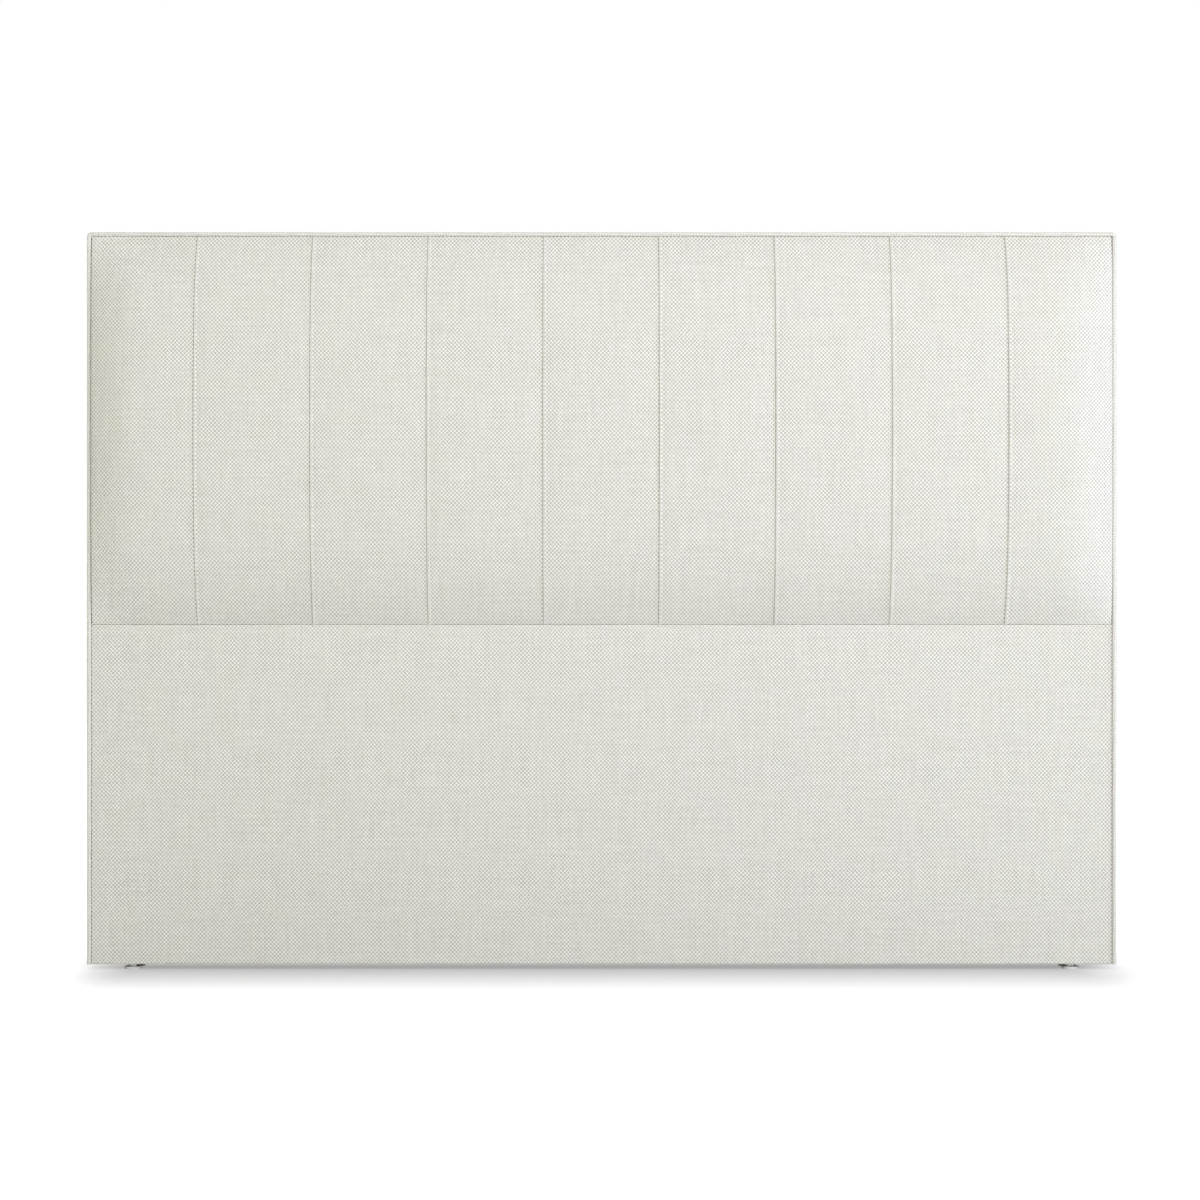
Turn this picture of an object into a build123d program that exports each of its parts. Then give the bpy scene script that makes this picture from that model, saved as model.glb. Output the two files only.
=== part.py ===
"""Upholstered headboard: a padded panel that stands on the floor behind a bed.

The upper part is a crowned cushion, sewn in nine upright channels. Below a cross seam the panel is flat.
A fabric-covered cord, the piping, runs up both sides and over the top of the front. A timber frame is inside.
Millimetres. X runs along the width, the front faces -Y, and Z is up from the floor.
"""

from build123d import *

import os

os.makedirs("parts", exist_ok=True)

# The whole object
overall_width = 1800.0
body_height = 1280.0
cross_seam_height = 594.0

# Cloth and its clearances
cloth_thickness = 1.5
soft_gap = 0.3
edge_gap = 0.15

# Piping up the sides and over the top of the front, and the rolled edge of the cover below
piping_diameter = 7.5
filler_diameter = 4.6
filler_clearance = 0.1
piping_corner_room = 0.75
piping_overhang = 3.0
lower_edge_round = 1.2
flange_thickness = 2.4
flange_reach = 8.0

# Cushion above the cross seam: the places of its shoulders and summit are shares of its height
crown_depth = 50.0
channel_pitch = 201.5
channel_count = 9
channel_cover_thickness = 3.0
channel_puff = 2.5
puff_shares = (0.0, 0.14, 0.32, 0.5, 0.68, 0.86, 1.0)
summit_share = 0.5
lower_shoulder_share = 0.42
upper_shoulder_share = 0.37
shoulder_rise_share = 0.8
end_roll_power = 4
end_roll_shares = (0.0, 0.05, 0.12, 0.22, 0.35, 0.52, 0.75)
least_rise_share = 0.02

# Raised tucks between the channels: shares of their width, and of their height there
tuck_width = 3.2
tuck_height = 3.0
tuck_form_shares = ((0.0, 0.55), (0.25, 1.0), (0.75, 1.0), (1.0, 0.55))

# Flat padding below the cross seam
lower_foam_thickness = 15.0

# Plywood facing boards
board_thickness = 6.0
board_joint_gap = 0.5

# Timber frame
timber_width = 70.0
timber_depth = 45.0
timber_edge_round = 2.0
middle_rail_width = 80.0
plinth_thickness = 24.0
post_width = 60.0
upper_post_spacing = 620.0
lower_post_spacing = 900.0
corner_block_leg = 90.0
corner_block_thickness = 28.0
joint_gap = 0.1

# Dowels in the frame joints
dowel_diameter = 10.0
dowel_length = 60.0
dowel_spacing = 34.0
dowel_end_room = 1.0
dowel_end_chamfer = 0.8
dowel_clearance = 0.05

# Wood screws
screw_clearance = 0.05
screw_tip_room = 1.0
board_screw_diameter = 4.0
board_screw_head = 8.0
board_screw_length = 20.0
board_screw_pitch = 280.0
board_screw_inset = 20.0
plinth_screw_diameter = 5.0
plinth_screw_head = 10.0
plinth_screw_length = 60.0
plinth_screw_pitch = 380.0
plinth_screw_count = 5

# Threaded sleeves for the bed's bolts and for the feet
sleeve_diameter = 12.0
sleeve_bore = 8.0
sleeve_collar_diameter = 16.0
sleeve_collar_height = 1.5
sleeve_clearance = 0.05
bed_sleeve_length = 20.0
bed_bolt_room = 36.0
bed_bolt_heights = (190.0, 330.0)
bed_hole_margin = 2.0
foot_sleeve_length = 14.0

# Levelling feet
pad_diameter = 30.0
pad_height = 4.0
pad_edge_round = 0.8
pivot_diameter = 6.0
pivot_depth = 2.5
pivot_clearance = 0.05
nut_across_flats = 13.0
nut_height = 4.3
nut_clearance = 0.2
nut_room = 0.5
spindle_clearance = 0.05
spindle_reach = 20.0
spindle_tip_room = 1.0
spindle_tip_chamfer = 0.8
foot_inset = 78.0
front_foot_inset = 17.0
rear_foot_inset = 18.0
foot_hole_margin = 1.5

# Cloth on the back, and its staples
back_return = 30.0
dust_cover_thickness = 1.0
dust_cover_inset = 12.0
staple_crown = 12.0
staple_wire = 0.7
staple_leg = 10.0
staple_inset = 8.0
staple_pitch = 76.0

# Heights
body_bottom = pad_height + nut_clearance + nut_height + nut_room
body_top = body_bottom + body_height
seam_z = body_bottom + cross_seam_height

# Half widths and heights, from the outline inwards
outline_x = overall_width / 2
pipe_radius = piping_diameter / 2
boxing_inset = piping_overhang
frame_inset = boxing_inset + cloth_thickness + edge_gap
panel_inset = piping_diameter + edge_gap
boxing_x = outline_x - boxing_inset
frame_x = outline_x - frame_inset
panel_x = outline_x - panel_inset
boxing_top = body_top - boxing_inset
frame_bottom = body_bottom + cloth_thickness + edge_gap
frame_top = body_top - frame_inset
panel_top = body_top - panel_inset
plinth_top = frame_bottom + plinth_thickness

# Depths, from the front of the crown to the back
padding_depth = cloth_thickness + soft_gap + lower_foam_thickness
backing_depth = board_thickness + timber_depth + cloth_thickness + dust_cover_thickness
total_depth = tuck_height + crown_depth + padding_depth + backing_depth
back_y = total_depth / 2
return_back_y = back_y - dust_cover_thickness
frame_back_y = return_back_y - cloth_thickness
frame_front_y = frame_back_y - timber_depth
board_front_y = frame_front_y - board_thickness
foam_front_y = board_front_y - lower_foam_thickness
face_y = foam_front_y - soft_gap - cloth_thickness
frame_mid_y = (frame_back_y + frame_front_y) / 2

# Seams between the channels, left to right
seam_count = channel_count - 1
seam_xs = [(i - (seam_count - 1) / 2) * channel_pitch for i in range(seam_count)]
end_channel_width = panel_x - seam_xs[-1]
cushion_bottom = seam_z + soft_gap / 2
cushion_top = panel_top

# Rails and posts of the frame
rail_widths = {"bottom": timber_width, "middle": middle_rail_width, "top": timber_width}
rail_heights = {
    "bottom": plinth_top + joint_gap + timber_width / 2,
    "middle": seam_z,
    "top": frame_top - timber_width / 2,
}
stile_inner_x = frame_x - timber_width
rail_reach = stile_inner_x - joint_gap
post_xs = {"upper": upper_post_spacing / 2, "lower": lower_post_spacing / 2}
bays = {"upper": ("middle", "top"), "lower": ("bottom", "middle")}
hands = {"left": -1, "right": 1}


def save(piece, label):
    """Name a finished piece and write it as one STEP file."""
    piece.part.label = label
    export_step(piece.part, f"parts/{label}.step")


def front_plane(y):
    """Plane that faces the front, where a place is (x, z)."""
    return Plane(origin=(0, y, 0), x_dir=(1, 0, 0), z_dir=(0, -1, 0))


def back_plane(y):
    """Plane that faces the back, where a place is (-x, z)."""
    return Plane(origin=(0, y, 0), x_dir=(-1, 0, 0), z_dir=(0, 1, 0))


def under_plane(z):
    """Plane that faces down, where a place is (x, -y)."""
    return Plane(origin=(0, 0, z), x_dir=(1, 0, 0), z_dir=(0, 0, -1))


def side_plane(x, hand=1):
    """Upright plane across the width that faces right or left, where a place is (y, z times hand)."""
    return Plane(origin=(x, 0, 0), x_dir=(0, 1, 0), z_dir=(hand, 0, 0))


def block(low, high):
    """Box between two corners."""
    size = [b - a for a, b in zip(low, high)]
    middle = [(a + b) / 2 for a, b in zip(low, high)]
    with Locations(tuple(middle)):
        Box(*size)


def rods(plane, places, radius, length, mode=Mode.ADD):
    """Round rods, or blind holes, that run from a plane against its normal."""
    with BuildSketch(plane) as rounds:
        with Locations(*places):
            Circle(radius)
    extrude(rounds.sketch, amount=-length, mode=mode)


def bay_ends(bay):
    """Lowest and highest point of the opening between the two rails of a bay."""
    low, high = bays[bay]
    low_end = rail_heights[low] + rail_widths[low] / 2
    high_end = rail_heights[high] - rail_widths[high] / 2
    return low_end, high_end


# Countersunk wood screws, made at the origin with the point along +Z
def screw_form(diameter, head, length, clearance=0, tip_room=0):
    """One screw, or with a clearance the hole that it sits in."""
    shank = diameter / 2 + clearance
    head_radius = head / 2 + clearance
    cone = head_radius - shank
    tip_z = length + tip_room
    with BuildPart() as form:
        with BuildSketch(Plane.XZ):
            with BuildLine():
                Polyline(
                    (0, 0),
                    (head_radius, 0),
                    (shank, cone),
                    (shank, tip_z - shank),
                    (0, tip_z),
                    close=True,
                )
            make_face()
        revolve(axis=Axis.Z)
    return form.part


board_screw = screw_form(board_screw_diameter, board_screw_head, board_screw_length)
board_screw_hole = screw_form(
    board_screw_diameter,
    board_screw_head,
    board_screw_length,
    screw_clearance,
    screw_tip_room,
)
plinth_screw = screw_form(plinth_screw_diameter, plinth_screw_head, plinth_screw_length)
plinth_screw_hole = screw_form(
    plinth_screw_diameter,
    plinth_screw_head,
    plinth_screw_length,
    screw_clearance,
    screw_tip_room,
)


def board_screw_rows():
    """Screw places (x, z): along each edge of the two boards, and halfway up the stiles and posts."""
    gaps = int(2 * (frame_x - board_screw_inset) // board_screw_pitch)
    row = [(i - gaps / 2) * board_screw_pitch for i in range(gaps + 1)]
    heights = (
        rail_heights["bottom"],
        seam_z - board_screw_inset,
        seam_z + board_screw_inset,
        rail_heights["top"],
    )
    places = [(x, z) for z in heights for x in row]
    for bay in bays:
        middle = sum(bay_ends(bay)) / 2
        for hand in hands.values():
            places.append((hand * (frame_x - timber_width / 2), middle))
            places.append((hand * post_xs[bay], middle))
    return places


board_screw_places = board_screw_rows()
plinth_screw_xs = [
    (i - (plinth_screw_count - 1) / 2) * plinth_screw_pitch
    for i in range(plinth_screw_count)
]


def board_screw_spots(low, high):
    """Board screws that stand between two places (x, z), as planes that look into the board."""
    return [
        Plane(origin=(x, board_front_y, z), x_dir=(1, 0, 0), z_dir=(0, 1, 0))
        for x, z in board_screw_places
        if low[0] < x < high[0] and low[1] < z < high[1]
    ]


def place(form, spots, mode=Mode.ADD):
    """Add or cut a form at each of the spots, where there are any."""
    if spots:
        with Locations(*spots):
            add(form, mode=mode)


def timber(piece, low, high, grain):
    """Planed timber between two corners, its long edges eased, with the holes for the board screws."""
    block(low, high)
    fillet(piece.edges().filter_by(grain), timber_edge_round)
    spots = board_screw_spots((low[0], low[2]), (high[0], high[2]))
    place(board_screw_hole, spots, Mode.SUBTRACT)


dowel_hole = dowel_diameter / 2 + dowel_clearance
dowel_depth = dowel_length / 2 + dowel_end_room
dowel_sides = (-dowel_spacing / 2, dowel_spacing / 2)

# Stiles: the uprights at both ends, standing on the plinth board
for hand_name, hand in hands.items():
    with BuildPart() as stile:
        near, far = sorted((hand * frame_x, hand * stile_inner_x))
        low_corner = (near, frame_front_y, plinth_top + joint_gap)
        timber(stile, low_corner, (far, frame_back_y, frame_top), Axis.Z)
        dowel_places = [
            (frame_mid_y, -hand * (z + side))
            for z in rail_heights.values()
            for side in dowel_sides
        ]
        inner_face = side_plane(hand * stile_inner_x, -hand)
        rods(inner_face, dowel_places, dowel_hole, dowel_depth, Mode.SUBTRACT)
    save(stile, f"{hand_name}_stile")

# Rails: three level timbers between the stiles
plinth_screw_spots = [
    Plane(origin=(x, frame_mid_y, frame_bottom), z_dir=(0, 0, 1))
    for x in plinth_screw_xs
]
for level, rail_z in rail_heights.items():
    rail_low = rail_z - rail_widths[level] / 2
    rail_high = rail_z + rail_widths[level] / 2
    with BuildPart() as rail:
        low_corner = (-rail_reach, frame_front_y, rail_low)
        timber(rail, low_corner, (rail_reach, frame_back_y, rail_high), Axis.X)
        for hand in hands.values():
            ends = [(frame_mid_y, hand * (rail_z + side)) for side in dowel_sides]
            end_face = side_plane(hand * rail_reach, hand)
            rods(end_face, ends, dowel_hole, dowel_depth, Mode.SUBTRACT)
        for bay, (low_rail, high_rail) in bays.items():
            dowel_xs = [
                hand * post_xs[bay] + side
                for hand in hands.values()
                for side in dowel_sides
            ]
            if level == low_rail:
                tops = [(x, frame_mid_y) for x in dowel_xs]
                top_face = Plane.XY.offset(rail_high)
                rods(top_face, tops, dowel_hole, dowel_depth, Mode.SUBTRACT)
            if level == high_rail:
                unders = [(x, -frame_mid_y) for x in dowel_xs]
                low_face = under_plane(rail_low)
                rods(low_face, unders, dowel_hole, dowel_depth, Mode.SUBTRACT)
        if level == "bottom":
            place(plinth_screw_hole, plinth_screw_spots, Mode.SUBTRACT)
    save(rail, f"{level}_rail")

# Posts: two short uprights in each bay; the lower ones carry the sleeves for the bed's bolts
collar_hole = sleeve_collar_diameter / 2 + sleeve_clearance
sleeve_hole = sleeve_diameter / 2 + sleeve_clearance
for bay, post_x in post_xs.items():
    bay_low, bay_high = bay_ends(bay)
    post_low = bay_low + joint_gap
    post_high = bay_high - joint_gap
    for hand_name, hand in hands.items():
        middle_x = hand * post_x
        with BuildPart() as post:
            low_corner = (middle_x - post_width / 2, frame_front_y, post_low)
            high_corner = (middle_x + post_width / 2, frame_back_y, post_high)
            timber(post, low_corner, high_corner, Axis.Z)
            tops = [(middle_x + side, frame_mid_y) for side in dowel_sides]
            unders = [(middle_x + side, -frame_mid_y) for side in dowel_sides]
            top_face = Plane.XY.offset(post_high)
            low_face = under_plane(post_low)
            rods(top_face, tops, dowel_hole, dowel_depth, Mode.SUBTRACT)
            rods(low_face, unders, dowel_hole, dowel_depth, Mode.SUBTRACT)
            if bay == "lower":
                bolts = [(-middle_x, z) for z in bed_bolt_heights]
                back = back_plane(frame_back_y)
                rods(back, bolts, collar_hole, sleeve_collar_height, Mode.SUBTRACT)
                rods(back, bolts, sleeve_hole, bed_bolt_room, Mode.SUBTRACT)
        save(post, f"{bay}_post_{hand_name}")

# Dowels across the joints of the frame
with BuildPart() as frame_dowels:
    half_gap = joint_gap / 2
    rail_dowels = [
        (frame_mid_y, rail_z + side)
        for rail_z in rail_heights.values()
        for side in dowel_sides
    ]
    for hand in hands.values():
        with BuildSketch(side_plane(hand * (rail_reach + half_gap))):
            with Locations(*rail_dowels):
                Circle(dowel_diameter / 2)
        extrude(amount=dowel_length / 2, both=True)
    for bay, post_x in post_xs.items():
        bay_low, bay_high = bay_ends(bay)
        post_dowels = [
            (hand * post_x + side, frame_mid_y)
            for hand in hands.values()
            for side in dowel_sides
        ]
        for joint_z in (bay_low + half_gap, bay_high - half_gap):
            with BuildSketch(Plane.XY.offset(joint_z)):
                with Locations(*post_dowels):
                    Circle(dowel_diameter / 2)
            extrude(amount=dowel_length / 2, both=True)
    chamfer(frame_dowels.edges().filter_by(GeomType.CIRCLE), dowel_end_chamfer)
save(frame_dowels, "frame_dowels")

# Corner blocks glued in the four outer corners of the frame
with BuildPart() as corner_blocks:
    corner_low = bay_ends("lower")[0] + joint_gap
    corner_high = bay_ends("upper")[1] - joint_gap
    with BuildSketch(front_plane(frame_mid_y - corner_block_thickness / 2)):
        for hand in hands.values():
            for corner_z, up in ((corner_low, 1), (corner_high, -1)):
                with BuildLine():
                    Polyline(
                        (hand * rail_reach, corner_z),
                        (hand * (rail_reach - corner_block_leg), corner_z),
                        (hand * rail_reach, corner_z + up * corner_block_leg),
                        close=True,
                    )
                make_face()
    extrude(amount=-corner_block_thickness)
save(corner_blocks, "corner_blocks")

# Plinth board: it closes the frame below, carries the feet, and is notched at both ends for the piping's flange
foot_xs = {name: hand * (outline_x - foot_inset) for name, hand in hands.items()}
foot_ys = {"front": face_y + front_foot_inset, "rear": back_y - rear_foot_inset}
foot_unders = [(x, -y) for x in foot_xs.values() for y in foot_ys.values()]
foot_room = spindle_reach + spindle_tip_room
notch_back_y = face_y + flange_reach + soft_gap
notch_x = panel_x - soft_gap
with BuildPart() as plinth_board:
    block((-frame_x, notch_back_y, frame_bottom), (frame_x, frame_back_y, plinth_top))
    block((-notch_x, foam_front_y, frame_bottom), (notch_x, notch_back_y, plinth_top))
    underside = under_plane(frame_bottom)
    rods(underside, foot_unders, collar_hole, sleeve_collar_height, Mode.SUBTRACT)
    rods(underside, foot_unders, sleeve_hole, foot_room, Mode.SUBTRACT)
    place(plinth_screw_hole, plinth_screw_spots, Mode.SUBTRACT)
save(plinth_board, "plinth_board")

with BuildPart() as plinth_screws:
    place(plinth_screw, plinth_screw_spots)
save(plinth_screws, "plinth_screws")

# Plywood boards on the front of the frame, which meet on the middle rail
board_ends = {
    "lower_board": (plinth_top, seam_z - board_joint_gap / 2),
    "upper_board": (seam_z + board_joint_gap / 2, frame_top),
}
for board_name, (board_low, board_high) in board_ends.items():
    with BuildPart() as board:
        low_corner = (-frame_x, board_front_y, board_low)
        block(low_corner, (frame_x, frame_front_y, board_high))
        spots = board_screw_spots((-frame_x, board_low), (frame_x, board_high))
        place(board_screw_hole, spots, Mode.SUBTRACT)
    save(board, board_name)

with BuildPart() as board_screws:
    place(board_screw, board_screw_spots((-frame_x, frame_bottom), (frame_x, frame_top)))
save(board_screws, "board_screws")


# Cushion above the cross seam
def cushion_curve(rise, set_back):
    """Outline of the cushion's front from seam to top: four arcs that join without a kink at a summit."""
    edge_y = face_y + set_back
    height = cushion_top - cushion_bottom
    summit_z = cushion_bottom + summit_share * height
    summit = (edge_y - rise, summit_z)
    shoulder_y = edge_y - shoulder_rise_share * rise
    lower_z = cushion_bottom + lower_shoulder_share * (summit_z - cushion_bottom)
    upper_z = cushion_top - upper_shoulder_share * (cushion_top - summit_z)
    lower_crown = TangentArc(summit, (shoulder_y, lower_z), tangent=(0, -1))
    TangentArc((shoulder_y, lower_z), (edge_y, cushion_bottom), tangent=lower_crown % 1)
    upper_crown = TangentArc(summit, (shoulder_y, upper_z), tangent=(0, 1))
    TangentArc((shoulder_y, upper_z), (edge_y, cushion_top), tangent=upper_crown % 1)


def layer_slice(x, front_rise, back_rise, back_set):
    """Upright slice of a layer that follows the cushion's front and is back_set thick at its edge."""
    with BuildSketch(side_plane(x)) as layer:
        with BuildLine():
            cushion_curve(front_rise, 0)
            cushion_curve(back_rise, back_set)
            for z in (cushion_bottom, cushion_top):
                Line((face_y, z), (face_y + back_set, z))
        make_face()
    return layer.sketch


def foam_slice(x, rise):
    """Upright slice of the foam under the covers, down to the board behind it."""
    edge_set = channel_cover_thickness + soft_gap
    with BuildSketch(side_plane(x)) as foam:
        with BuildLine():
            cushion_curve(rise, edge_set)
            Polyline(
                (face_y + edge_set, cushion_bottom),
                (board_front_y, cushion_bottom),
                (board_front_y, cushion_top),
                (face_y + edge_set, cushion_top),
            )
        make_face()
    return foam.sketch


def crown_at(x):
    """Rise of the cushion at its summit: full between the outer seams, rolling off to the ends."""
    share = min(1, (panel_x - abs(x)) / end_channel_width)
    rolled = 1 - (1 - share) ** end_roll_power
    return crown_depth * max(least_rise_share, rolled)


end_xs = [panel_x - share * end_channel_width for share in end_roll_shares]

with BuildPart() as upper_foam:
    half_xs = end_xs + [seam_xs[-1]]
    foam_xs = [-x for x in half_xs] + half_xs[::-1]
    loft([foam_slice(x, crown_at(x)) for x in foam_xs], ruled=True)
save(upper_foam, "upper_foam")

# Covers of the nine channels, each quilted on thin wadding: those between seams swell a little
seam_margin = tuck_width / 2 + soft_gap / 2
seam_side_x = seam_xs[-1] + seam_margin
end_stations = [(x, crown_at(x)) for x in end_xs + [seam_side_x]]
for number in range(1, channel_count + 1):
    if number == 1:
        stations = [(-x, rise) for x, rise in end_stations]
    elif number == channel_count:
        stations = end_stations
    else:
        first_x = seam_xs[number - 2] + seam_margin
        width = channel_pitch - 2 * seam_margin
        swells = [channel_puff * (1 - (2 * share - 1) ** 2) for share in puff_shares]
        stations = [
            (first_x + share * width, crown_depth + swell)
            for share, swell in zip(puff_shares, swells)
        ]
    with BuildPart() as channel_cover:
        slices = [
            layer_slice(x, rise, crown_at(x), channel_cover_thickness)
            for x, rise in stations
        ]
        loft(slices, ruled=True)
    save(channel_cover, f"channel_cover_{number}")

# Raised tucks that stand between neighbouring covers
with BuildPart() as seam_tucks:
    for seam_x in seam_xs:
        tuck_slices = [
            layer_slice(
                seam_x + (width_share - 1 / 2) * tuck_width,
                crown_depth + height_share * tuck_height,
                crown_depth,
                channel_cover_thickness,
            )
            for width_share, height_share in tuck_form_shares
        ]
        loft(tuck_slices, ruled=True)
save(seam_tucks, "seam_tucks")

# Flat padding and cover below the cross seam; the cover turns under the plinth board to meet the boxing
flat_top = seam_z - soft_gap / 2
pipe_y = face_y + cloth_thickness / 2
pipe_x = outline_x - pipe_radius
pipe_top = body_top - pipe_radius
boxing_front_y = pipe_y + pipe_radius + edge_gap
with BuildPart() as lower_foam:
    block((-panel_x, foam_front_y, plinth_top), (panel_x, board_front_y, flat_top))
save(lower_foam, "lower_foam")

with BuildPart() as lower_cover:
    cover_back_y = face_y + cloth_thickness
    turn_back_y = boxing_front_y - edge_gap
    block((-panel_x, face_y, body_bottom), (panel_x, cover_back_y, flat_top))
    block((-panel_x, face_y, body_bottom), (panel_x, turn_back_y, body_bottom + cloth_thickness))
    front_edges = lower_cover.edges().filter_by(Axis.X).group_by(Axis.Y)[0]
    fillet(front_edges.sort_by(Axis.Z)[0], lower_edge_round)
save(lower_cover, "lower_cover")

# Piping: a cloth tube with a sewn flange, its lower ends closed, and the cord in it
bend_radius = pipe_radius + piping_corner_room
bend_x = pipe_x - bend_radius
bend_z = pipe_top - bend_radius


def piping_run(low_z):
    """Half of the piping's middle line, from its lower end at the right to the middle of the top."""
    with BuildLine(front_plane(pipe_y)) as run:
        Line((pipe_x, low_z), (pipe_x, bend_z))
        CenterArc((bend_x, bend_z), bend_radius, 0, 90)
        Line((bend_x, pipe_top), (0, pipe_top))
    return run.wire()


def piping_tube(low_z, radius, mode=Mode.ADD):
    """Round section swept along the piping's middle line."""
    with BuildSketch(Plane.XY.offset(low_z)) as section:
        with Locations((pipe_x, pipe_y)):
            Circle(radius)
    sweep(section.sketch, path=piping_run(low_z), mode=mode)


cord_low = body_bottom + cloth_thickness
with BuildPart() as piping_cover:
    piping_tube(body_bottom, pipe_radius)
    flange_back_y = face_y + flange_reach
    flange_x = frame_x - flange_thickness / 2
    with BuildSketch(Plane.XY.offset(frame_bottom)) as flange_section:
        with Locations((flange_x, (pipe_y + flange_back_y) / 2)):
            Rectangle(flange_thickness, flange_back_y - pipe_y)
    sweep(flange_section.sketch, path=piping_run(frame_bottom))
    piping_tube(cord_low, filler_diameter / 2 + filler_clearance, Mode.SUBTRACT)
    mirror(about=Plane.YZ)
save(piping_cover, "piping_cover")

with BuildPart() as piping_filler:
    piping_tube(cord_low + filler_clearance, filler_diameter / 2)
    mirror(about=Plane.YZ)
save(piping_filler, "piping_filler")

# Boxing: strips of cloth over the four edges, turned in behind the frame
spindle_hole = sleeve_bore / 2 + foot_hole_margin
edge_strips = {"boxing_bottom": (body_bottom, 1), "boxing_top": (boxing_top, -1)}
for strip_name, (wall_z, inward) in edge_strips.items():
    with BuildPart() as boxing:
        wall_low, wall_high = sorted((wall_z, wall_z + inward * cloth_thickness))
        turn_low, turn_high = sorted((wall_z, wall_z + inward * back_return))
        wall_corner = (boxing_x, return_back_y, wall_high)
        block((-boxing_x, boxing_front_y, wall_low), wall_corner)
        turn_corner = (boxing_x, return_back_y, turn_high)
        block((-boxing_x, frame_back_y, turn_low), turn_corner)
        if strip_name == "boxing_bottom":
            cloth_under = under_plane(body_bottom)
            rods(cloth_under, foot_unders, spindle_hole, cloth_thickness, Mode.SUBTRACT)
    save(boxing, strip_name)

strip_end = cloth_thickness + edge_gap
turn_end = back_return + edge_gap
for hand_name, hand in hands.items():
    with BuildPart() as boxing:
        outer_x = hand * boxing_x
        wall_near, wall_far = sorted((outer_x, hand * (boxing_x - cloth_thickness)))
        turn_near, turn_far = sorted((outer_x, hand * (boxing_x - back_return)))
        wall_corner = (wall_far, frame_back_y, boxing_top - strip_end)
        block((wall_near, boxing_front_y, body_bottom + strip_end), wall_corner)
        turn_corner = (turn_far, return_back_y, boxing_top - turn_end)
        block((turn_near, frame_back_y, body_bottom + turn_end), turn_corner)
    save(boxing, f"boxing_{hand_name}")

# Dust cover over the back, with holes for the bed's bolts, and the staples that hold it
dust_x = boxing_x - dust_cover_inset
dust_bottom = body_bottom + dust_cover_inset
dust_top = boxing_top - dust_cover_inset
bolt_places = [
    (hand * post_xs["lower"], z) for hand in hands.values() for z in bed_bolt_heights
]
with BuildPart() as dust_cover:
    block((-dust_x, return_back_y, dust_bottom), (dust_x, back_y, dust_top))
    bed_hole = sleeve_collar_diameter / 2 + bed_hole_margin
    dust_back = back_plane(back_y)
    rods(dust_back, bolt_places, bed_hole, dust_cover_thickness, Mode.SUBTRACT)
save(dust_cover, "dust_cover")


def even_row(half_length, pitch):
    """Even places along a line, from its middle."""
    gaps = int(2 * half_length // pitch)
    return [(i - gaps / 2) * pitch for i in range(gaps + 1)]


with BuildPart() as one_staple:
    reach = staple_crown / 2
    half_wire = staple_wire / 2
    block((-reach, -staple_wire, -half_wire), (reach, 0, half_wire))
    for side in hands.values():
        leg_near, leg_far = sorted((side * reach, side * (reach - staple_wire)))
        block((leg_near, -staple_leg, -half_wire), (leg_far, 0, half_wire))

with BuildPart() as back_staples:
    row_x = dust_x - staple_inset
    middle_z = (dust_bottom + dust_top) / 2
    for row_z in (dust_bottom + staple_inset, dust_top - staple_inset):
        row = even_row(row_x, staple_pitch)
        place(one_staple.part, [Location((x, back_y, row_z)) for x in row])
    upright_reach = (dust_top - dust_bottom) / 2 - staple_inset - staple_pitch / 2
    for hand in hands.values():
        column = even_row(upright_reach, staple_pitch)
        spots = [
            Location((hand * row_x, back_y, middle_z + rise), (0, 90, 0))
            for rise in column
        ]
        place(one_staple.part, spots)
save(back_staples, "back_staples")

# Threaded sleeves: four in the lower posts for the bed's bolts, four in the plinth board for the feet
sleeve_sets = {
    "bed_sleeves": (back_plane(frame_back_y), bolt_places, bed_sleeve_length),
    "foot_sleeves": (under_plane(frame_bottom), foot_unders, foot_sleeve_length),
}
for sleeve_name, (face, places, length) in sleeve_sets.items():
    with BuildPart() as sleeves:
        rods(face, places, sleeve_collar_diameter / 2, sleeve_collar_height)
        rods(face, places, sleeve_diameter / 2, length)
        rods(face, places, sleeve_bore / 2, length, Mode.SUBTRACT)
    save(sleeves, sleeve_name)

# Levelling feet: a spindle that screws into its sleeve and turns in a pad on the floor
pivot_radius = pivot_diameter / 2
spindle_radius = sleeve_bore / 2 - spindle_clearance
nut_low = pad_height + nut_clearance
nut_high = nut_low + nut_height
stem_top = frame_bottom + spindle_reach
for row_name, foot_y in foot_ys.items():
    for hand_name, foot_x in foot_xs.items():
        centre = (foot_x, foot_y)
        with BuildPart() as foot_pad:
            with BuildSketch():
                with Locations(centre):
                    Circle(pad_diameter / 2)
            extrude(amount=pad_height)
            rims = foot_pad.edges().filter_by(GeomType.CIRCLE)
            fillet(rims.sort_by(Axis.Z)[-1], pad_edge_round)
            pad_top = Plane.XY.offset(pad_height)
            socket_radius = pivot_radius + pivot_clearance
            socket_depth = pivot_depth + nut_clearance
            rods(pad_top, [centre], socket_radius, socket_depth, Mode.SUBTRACT)
        save(foot_pad, f"foot_pad_{row_name}_{hand_name}")

        with BuildPart() as foot_spindle:
            nut_plane = Plane.XY.offset(nut_low)
            rods(nut_plane, [centre], pivot_radius, pivot_depth + nut_clearance)
            with BuildSketch(nut_plane):
                with Locations(centre):
                    RegularPolygon(nut_across_flats / 2, side_count=6, major_radius=False)
            extrude(amount=nut_height)
            stem_plane = Plane.XY.offset(stem_top)
            rods(stem_plane, [centre], spindle_radius, stem_top - nut_high)
            stem_rims = foot_spindle.edges().filter_by(GeomType.CIRCLE)
            chamfer(stem_rims.sort_by(Axis.Z)[-1], spindle_tip_chamfer)
        save(foot_spindle, f"foot_spindle_{row_name}_{hand_name}")
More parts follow.
